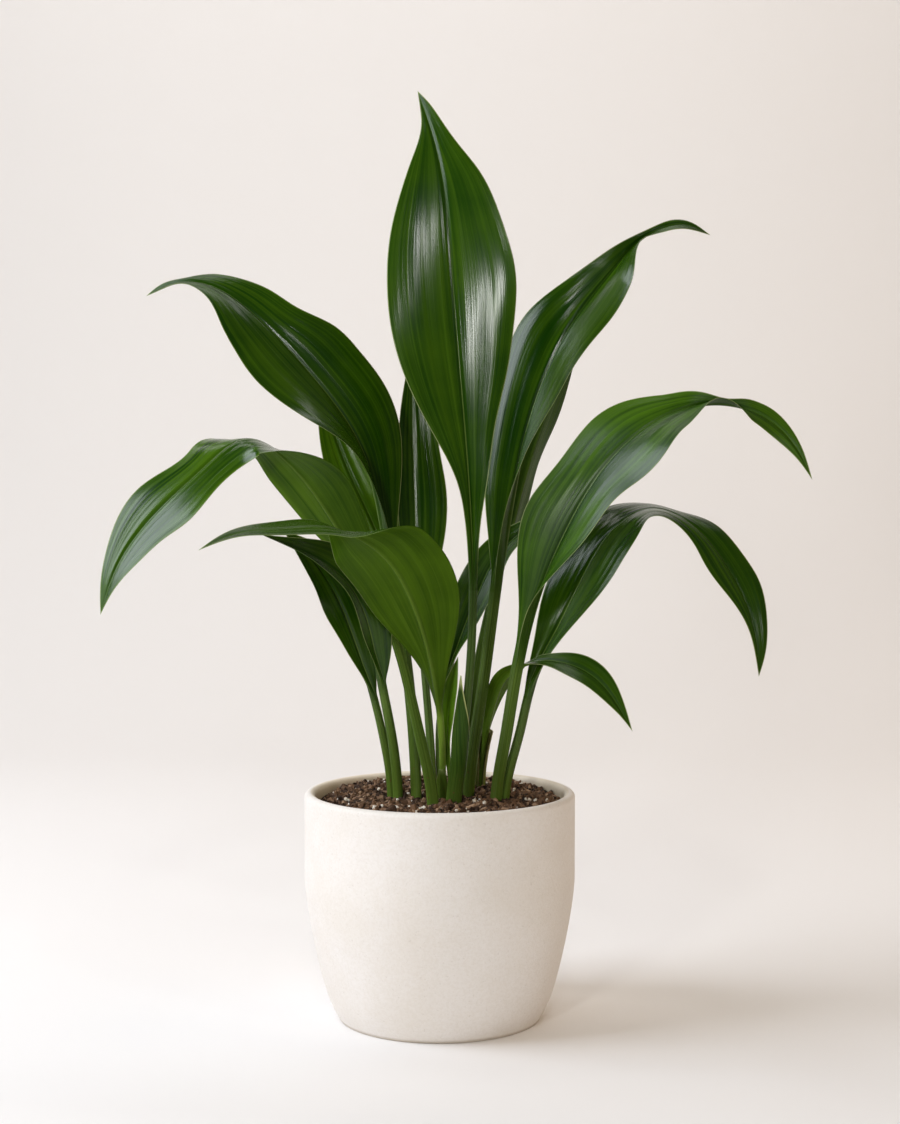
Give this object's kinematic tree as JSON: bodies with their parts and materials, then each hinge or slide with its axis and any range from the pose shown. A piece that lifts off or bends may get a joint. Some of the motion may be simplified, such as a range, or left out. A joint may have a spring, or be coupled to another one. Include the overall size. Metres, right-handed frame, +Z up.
{
  "type": "potted cast iron plant",
  "caption": "Potted cast iron plant: broad arching evergreen leaves on slender stalks rising from bark mix in a plain off-white ceramic pot.",
  "frame": {"origin": "centre of the pot's flat base", "axes": "+Z up along the pot's axis; -Y is the front of the plant, +X its right as seen from the front"},
  "size_m": [0.5021, 0.2859, 0.681],
  "materials": {
    "stoneware": "matte off-white stoneware with a fine speckle",
    "bark_mix": "moist dark bark and peat with white perlite grains",
    "rhizome_skin": "rough pale brown skin",
    "leaf_green": "glossy dark green leaf with fine parallel veins",
    "young_leaf_green": "satin bright green young leaf",
    "sheath_skin": "satin green to brown scale leaf with a pale papery edge"
  },
  "bodies": {
    "root": {"pot": "stoneware", "potting_mix": "bark_mix", "rhizome": "rhizome_skin", "leaf_tall_centre": "leaf_green", "leaf_upper_right": "leaf_green", "leaf_behind_right": "leaf_green", "leaf_mid_right": "leaf_green", "leaf_low_right": "leaf_green", "leaf_small_right": "leaf_green", "leaf_upper_left": "leaf_green", "leaf_mid_left": "leaf_green", "leaf_front": "leaf_green", "leaf_low_behind": "leaf_green", "leaf_behind_left": "leaf_green", "leaf_behind_centre": "leaf_green", "leaf_dark_left": "leaf_green", "leaf_outer_left": "leaf_green", "leaf_young": "young_leaf_green", "sheath_tall": "sheath_skin", "sheath_front": "sheath_skin", "sheath_right": "sheath_skin"}
  },
  "joints": []
}
